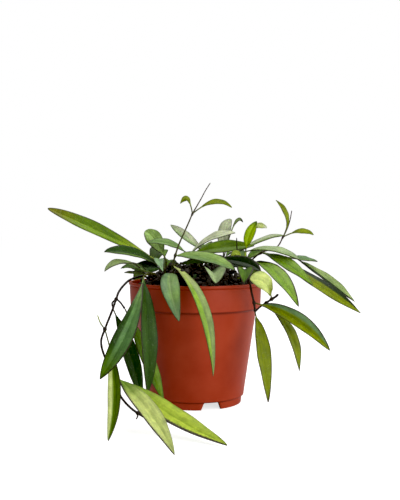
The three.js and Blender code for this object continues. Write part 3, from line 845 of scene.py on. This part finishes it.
def make_pot(material):
    """The pot as a body of revolution, with a notched foot and drain holes in its floor."""
    lip_bottom = POT_HEIGHT - LIP_HEIGHT
    profile = [
        (0, FLOOR_UNDERSIDE),
        (BODY_BOTTOM_RADIUS - FOOT_WALL - FLOOR_INSET, FLOOR_UNDERSIDE),
        (FOOT_RADIUS - FOOT_WALL, 0),
        (FOOT_RADIUS, 0),
        (FOOT_RADIUS + GROOVE, BODY_BOTTOM - FOOT_STEP_UNDER),
        (BODY_BOTTOM_RADIUS, BODY_BOTTOM + FOOT_STEP_OVER),
        (BODY_TOP_RADIUS, BAND_BOTTOM - STEP_CHAMFER),
        (BODY_TOP_RADIUS + STEP_CHAMFER, BAND_BOTTOM),
        (BAND_BOTTOM_RADIUS - BAND_CHAMFER, BAND_BOTTOM),
        (BAND_BOTTOM_RADIUS, BAND_BOTTOM + STEP_CHAMFER),
        (BAND_TOP_RADIUS, lip_bottom - GROOVE),
        (BAND_TOP_RADIUS - GROOVE, lip_bottom - GROOVE / 2),
        (BAND_TOP_RADIUS, lip_bottom),
        (LIP_RADIUS, POT_HEIGHT - LIP_FACE_SHARE * LIP_HEIGHT),
        (LIP_RADIUS, POT_HEIGHT),
        (BAND_TOP_RADIUS - WALL, POT_HEIGHT),
        (BAND_TOP_RADIUS - WALL, lip_bottom),
        (BAND_BOTTOM_RADIUS - WALL, BAND_BOTTOM + WALL + STEP_CHAMFER),
        (BODY_TOP_RADIUS - WALL, BAND_BOTTOM + WALL),
        (BODY_BOTTOM_RADIUS - WALL, FLOOR_UNDERSIDE + WALL),
        (0, FLOOR_UNDERSIDE + WALL),
    ]
    radius, height = np.array(rounded(profile, CORNER_RADIUS)[1:-1]).T[..., None]
    angles = turns(POT_SIDES)
    points = circles(radius, height, angles)
    lifted = np.maximum(points[..., 2], notch_lift(angles))
    points[..., 2] = np.where(points[..., 2] < BODY_BOTTOM, lifted, points[..., 2])
    shells = Shells()
    shells.add(points, ring_faces(len(radius), POT_SIDES))
    drill(shells.build("nursery_pot", material, "pot_plastic", "pot"), drain_pins())


def drain_pins():
    """One mesh of round pins where the floor has its drain holes."""
    shells = Shells()
    angles = [math.radians(degrees - 90) for degrees in NOTCH_ANGLES]
    places = [(DRAIN_CIRCLE * math.cos(a), DRAIN_CIRCLE * math.sin(a)) for a in angles]
    turn = turns(DRAIN_SIDES)
    for x, y in [(0, 0), *places]:
        circle = np.stack([DRAIN_RADIUS * np.cos(turn), DRAIN_RADIUS * np.sin(turn), 0 * turn], -1)
        rises = (-DRAIN_CLEARANCE, WALL + DRAIN_CLEARANCE)
        ends = [circle + (x, y, FLOOR_UNDERSIDE + rise) for rise in rises]
        shells.add(ends, ring_faces(2, DRAIN_SIDES))
    return shells.mesh("drain_pins")


def drill(piece, pins):
    """Cuts the pins out of the piece and keeps the result as its mesh."""
    cutter = bpy.data.objects.new("drain_pins", pins)
    link(cutter)
    hole = piece.modifiers.new("drains", "BOOLEAN")
    hole.object = cutter
    hole.solver = "EXACT"
    graph = bpy.context.evaluated_depsgraph_get()
    cut = bpy.data.meshes.new_from_object(piece.evaluated_get(graph))
    piece.modifiers.clear()
    piece.data = cut
    bpy.data.objects.remove(cutter)


def soil_roughness(x, y):
    """Fine lumps and crumbs at one place of the soil's surface."""
    spot = Vector((x, y, 0))
    height, scale = FINE_LUMP
    lump = height * noise.fractal(spot * scale, *FINE_LUMP_SHAPE)
    height, scale = CRUMB
    return lump + height * noise.cell_vector(spot * scale)[0]


def make_soil(material):
    """The mound, and under it walls that follow the inside of the pot."""
    edge = BAND_TOP_RADIUS - WALL - SOIL_WALL_GAP
    radius = np.linspace(0, edge, SOIL_RINGS + 1)[1:][::-1, None]
    angles = turns(SOIL_SIDES)
    top = circles(radius, 0, angles)
    x, y = top[..., 0], top[..., 1]
    top[..., 2] = soil_height(x, y) + np.vectorize(soil_roughness)(x, y)
    walls = (
        (BODY_BOTTOM_RADIUS - WALL - SOIL_WALL_GAP, SOIL_BOTTOM),
        (BODY_TOP_RADIUS - WALL - SOIL_WALL_GAP, BAND_BOTTOM),
        (edge, SOIL_SHOULDER),
    )
    wall_radius, wall_height = np.array(walls).T[..., None]
    points = np.concatenate([circles(wall_radius, wall_height, angles), top])
    shells = Shells()
    shells.add(points, ring_faces(len(points), SOIL_SIDES))
    shells.build("potting_soil", material, "soil", "soil")


def add_chip(shells, rng, place, size, tint):
    """Adds one rough lump: rings of a squashed ball, each corner pushed in or out, turned freely."""
    lat = np.linspace(-CHIP_POLE, CHIP_POLE, CHIP_RINGS)[:, None]
    lon = turns(CHIP_SIDES)[None, :]
    ball = np.stack([np.cos(lat) * np.cos(lon), np.cos(lat) * np.sin(lon), np.sin(lat) + 0 * lon], -1)
    ball = ball * rng.uniform(*CHIP_CORNERS, (CHIP_RINGS, CHIP_SIDES, 1)) * np.array(size)
    axes = np.linalg.qr(rng.normal(size=(3, 3)))[0]
    if np.linalg.det(axes) < 0:
        axes[0] = -axes[0]
    shells.add(ball @ axes + place, ring_faces(CHIP_RINGS, CHIP_SIDES), tint)


def make_chips(material):
    """Bark chips heaped on the mound, with a few crumbs of perlite and dead leaf."""
    rng = np.random.default_rng(CHIP_SEED)
    shells = Shells()
    for colour, count, low, high, flat in CHIPS:
        for _ in range(count):
            reach = CHIP_REACH * math.sqrt(rng.uniform())
            angle = rng.uniform(0, 2 * math.pi)
            x, y = reach * math.cos(angle), reach * math.sin(angle)
            heap = CHIP_HEAP * (1 - (reach / CHIP_REACH) ** 3) * rng.uniform()
            long = rng.uniform(low, high)
            wide = long * rng.uniform(*CHIP_WIDTH_SHARE)
            size = (long, wide, long * flat * rng.uniform(*CHIP_THICKNESS_SHARE))
            place = np.array([x, y, soil_height(x, y) + heap])
            add_chip(shells, rng, place, size, linear(colour) * rng.uniform(*CHIP_SHADE))
    shells.build("bark_chips", material, "soil")


def add_node(tree, kind, inputs=None, **settings):
    """A new shader node; an input is given a value or linked to another node's output."""
    node = tree.nodes.new(kind)
    for key, value in settings.items():
        setattr(node, key, value)
    for key, value in (inputs or {}).items():
        if isinstance(value, bpy.types.NodeSocket):
            tree.links.new(value, node.inputs[key])
        else:
            node.inputs[key].default_value = value
    return node


def new_material(name):
    material = bpy.data.materials.new(name)
    material.use_nodes = True
    shader = material.node_tree.nodes["Principled BSDF"]
    return material, material.node_tree, shader


def object_place(tree):
    return add_node(tree, "ShaderNodeTexCoord").outputs["Object"]


def vertex_tint(tree):
    return add_node(tree, "ShaderNodeAttribute", attribute_name="tint").outputs["Color"]


def number(tree, name):
    return add_node(tree, "ShaderNodeAttribute", attribute_name=name).outputs["Fac"]


def mottle(tree, place, scale, detail):
    settings = {"Vector": place, "Scale": scale, "Detail": detail}
    return add_node(tree, "ShaderNodeTexNoise", settings).outputs["Fac"]


def spread(tree, value, low, high, to_low=0.0, to_high=1.0):
    settings = {"Value": value, "From Min": low, "From Max": high, "To Min": to_low, "To Max": to_high}
    return add_node(tree, "ShaderNodeMapRange", settings).outputs["Result"]


def blend_colours(tree, share, a, b):
    node = add_node(tree, "ShaderNodeMix", {0: share}, data_type="RGBA")
    for socket, value in ((6, a), (7, b)):
        if isinstance(value, bpy.types.NodeSocket):
            tree.links.new(value, node.inputs[socket])
        else:
            node.inputs[socket].default_value = (*value, 1)
    return node.outputs[2]


def calculate(tree, operation, a, b):
    return add_node(tree, "ShaderNodeMath", {0: a, 1: b}, operation=operation).outputs[0]


def add_bump(tree, shader, height, distance, strength):
    """Roughens the shader's surface by a height, over a distance in metres."""
    settings = {"Height": height, "Distance": distance, "Strength": strength}
    normal = add_node(tree, "ShaderNodeBump", settings).outputs["Normal"]
    tree.links.new(normal, shader.inputs["Normal"])


def leaf_material():
    """Waxy leaf: mottled green, pale flecks, a dark thin margin and a soft gloss."""
    material, tree, shader = new_material("hoya_leaf")
    place = object_place(tree)
    broad = mottle(tree, place, 160, 2)
    fine = mottle(tree, place, 900, 4)
    lengthwise = calculate(tree, "MULTIPLY", number(tree, "along"), STREAK_STRETCH)
    grain = {"X": lengthwise, "Y": number(tree, "across")}
    streak = mottle(tree, add_node(tree, "ShaderNodeCombineXYZ", grain).outputs["Vector"], 0.6, 4)
    shades = (
        spread(tree, fine, *NOISE_SPAN, 0.9, 1.1),
        spread(tree, streak, *NOISE_SPAN, 0.82, 1.2),
        spread(tree, number(tree, "inset"), 0.2, RIM_SHADE_WIDTH, RIM_SHADE, 1.0),
    )
    value = spread(tree, broad, *NOISE_SPAN, 0.62, 0.86)
    for shade in shades:
        value = calculate(tree, "MULTIPLY", value, shade)
    hue = spread(tree, streak, *NOISE_SPAN, 0.508, 0.492)
    settings = {"Color": vertex_tint(tree), "Value": value, "Hue": hue, "Saturation": LEAF_SATURATION}
    colour = add_node(tree, "ShaderNodeHueSaturation", settings).outputs["Color"]
    speck = spread(tree, mottle(tree, place, 700, 1), 0.62, 0.7)
    speck = calculate(tree, "MULTIPLY", speck, number(tree, "flecks"))
    colour = blend_colours(tree, speck, colour, FLECK_COLOUR)
    colour = blend_colours(tree, number(tree, "rib"), colour, RIB_COLOUR)
    uneven = spread(tree, fine, *NOISE_SPAN, -0.2, 0.2)
    ragged = calculate(tree, "ADD", number(tree, "edge"), uneven)
    colour = blend_colours(tree, spread(tree, ragged, 0.6, 1.2, 1, 0), colour, MARGIN_COLOUR)
    tree.links.new(colour, shader.inputs["Base Color"])
    tree.links.new(spread(tree, broad, *NOISE_SPAN, 0.42, 0.54), shader.inputs["Roughness"])
    add_bump(tree, shader, mottle(tree, place, 1500, 3), 0.00012, 0.35)
    shader.inputs["Specular IOR Level"].default_value = SATIN
    shader.inputs["Subsurface Weight"].default_value = 0.12
    shader.inputs["Subsurface Radius"].default_value = (0.6, 1.0, 0.25)
    shader.inputs["Subsurface Scale"].default_value = 0.0015
    return material


def plastic_material():
    """Satin moulded plastic with faint dusty patches, and painted shade just below its steps."""
    material, tree, shader = new_material("pot_plastic")
    place = object_place(tree)
    dust = mottle(tree, place, 45, 5)
    colour = blend_colours(tree, spread(tree, dust, 0.35, 0.75), PLASTIC_COLOUR, DUSTY_COLOUR)
    height = add_node(tree, "ShaderNodeSeparateXYZ", {"Vector": place}).outputs["Z"]
    # Each line paints the shade that a step's overhang casts on the wall just below it
    for corner, reach, strength in STEP_SHADE_LINES:
        above = spread(tree, height, (corner - reach) * MM, (corner - 0.3) * MM)
        below = spread(tree, height, (corner + 0.5) * MM, (corner + 1.1) * MM, strength, 0)
        step_shade = calculate(tree, "MULTIPLY", above, below)
        colour = blend_colours(tree, step_shade, colour, STEP_SHADE_COLOUR)
    tree.links.new(colour, shader.inputs["Base Color"])
    tree.links.new(spread(tree, dust, *NOISE_SPAN, 0.36, 0.5), shader.inputs["Roughness"])
    shader.inputs["Specular IOR Level"].default_value = SATIN
    add_bump(tree, shader, mottle(tree, place, 1200, 2), 0.00005, 0.2)
    return material


def soil_material():
    """Dark peat with reddish fibres."""
    material, tree, shader = new_material("peat_soil")
    crumbs = mottle(tree, object_place(tree), 500, 6)
    colour = blend_colours(tree, spread(tree, crumbs, 0.4, 0.7), PEAT_COLOUR, FIBRE_COLOUR)
    tree.links.new(colour, shader.inputs["Base Color"])
    shader.inputs["Roughness"].default_value = 0.95
    add_bump(tree, shader, crumbs, 0.0012, 1.0)
    return material


def chip_material():
    """Damp bark, darker in its pores."""
    material, tree, shader = new_material("bark_chip")
    pores = mottle(tree, object_place(tree), 1400, 4)
    settings = {"Color": vertex_tint(tree), "Value": spread(tree, pores, 0.35, 0.65, 0.5, 1.15)}
    colour = add_node(tree, "ShaderNodeHueSaturation", settings).outputs["Color"]
    tree.links.new(colour, shader.inputs["Base Color"])
    shader.inputs["Roughness"].default_value = 0.8
    add_bump(tree, shader, pores, 0.0004, 0.8)
    return material


def area_light(name, place, size, power):
    data = bpy.data.lights.new(name, "AREA")
    data.size = size
    data.energy = power
    lamp = bpy.data.objects.new(name, data)
    lamp.location = place
    towards = Vector(LIGHT_TARGET) - Vector(place)
    lamp.rotation_euler = towards.to_track_quat("-Z", "Y").to_euler()
    link(lamp)


def camera_sees(tree):
    """1 for what the camera sees itself, 0 for what only lights other things."""
    return add_node(tree, "ShaderNodeLightPath").outputs["Is Camera Ray"]


def make_floor():
    """A white floor that looks as bright as the backdrop."""
    size = FLOOR_HALF_SIZE
    corners = [(-size, -size, 0), (size, -size, 0), (size, size, 0), (-size, size, 0)]
    mesh = bpy.data.meshes.new("floor")
    mesh.from_pydata(corners, [], [(0, 1, 2, 3)])
    material, tree, shader = new_material("white_floor")
    shader.inputs["Base Color"].default_value = (FLOOR_GREY, FLOOR_GREY, FLOOR_GREY, 1)
    shader.inputs["Roughness"].default_value = 1.0
    shader.inputs["Specular IOR Level"].default_value = 0.0
    shader.inputs["Emission Color"].default_value = (1, 1, 1, 1)
    glow = calculate(tree, "MULTIPLY", camera_sees(tree), FLOOR_GLOW)
    tree.links.new(glow, shader.inputs["Emission Strength"])
    mesh.materials.append(material)
    floor = bpy.data.objects.new("floor", mesh)
    link(floor)


def make_backdrop():
    """A white world that gives less light than the camera sees in it."""
    world = bpy.data.worlds.new("studio")
    world.use_nodes = True
    tree = world.node_tree
    backdrop = tree.nodes["Background"]
    backdrop.inputs["Color"].default_value = (1, 1, 1, 1)
    strength = calculate(tree, "MAXIMUM", camera_sees(tree), WORLD_LIGHT)
    tree.links.new(strength, backdrop.inputs["Strength"])
    bpy.context.scene.world = world


def make_stage():
    """White floor and backdrop, soft lights, and slightly deepened blacks."""
    make_floor()
    make_backdrop()
    for light in LIGHTS:
        area_light(*light)
    look = bpy.context.scene.view_settings
    look.view_transform = "Standard"
    look.use_curve_mapping = True
    look.curve_mapping.black_level = (BLACK_LEVEL, BLACK_LEVEL, BLACK_LEVEL)
    look.curve_mapping.update()


def make_camera():
    """The photograph's view: its distance, height and pitch were worked out about the pot."""
    data = bpy.data.cameras.new("camera")
    data.lens = CAMERA_LENS
    data.sensor_width = CAMERA_SENSOR
    data.clip_start = CAMERA_NEAR
    camera = bpy.data.objects.new("camera", data)
    camera.location = Vector(AXIS + np.array(CAMERA_PLACE) * MM)
    camera.rotation_euler = (math.pi / 2 - CAMERA_PITCH, 0, 0)
    link(camera)
    bpy.context.scene.camera = camera


make_camera()
make_stage()
make_pot(plastic_material())
make_soil(soil_material())
make_chips(chip_material())
make_stems(leaf_material())
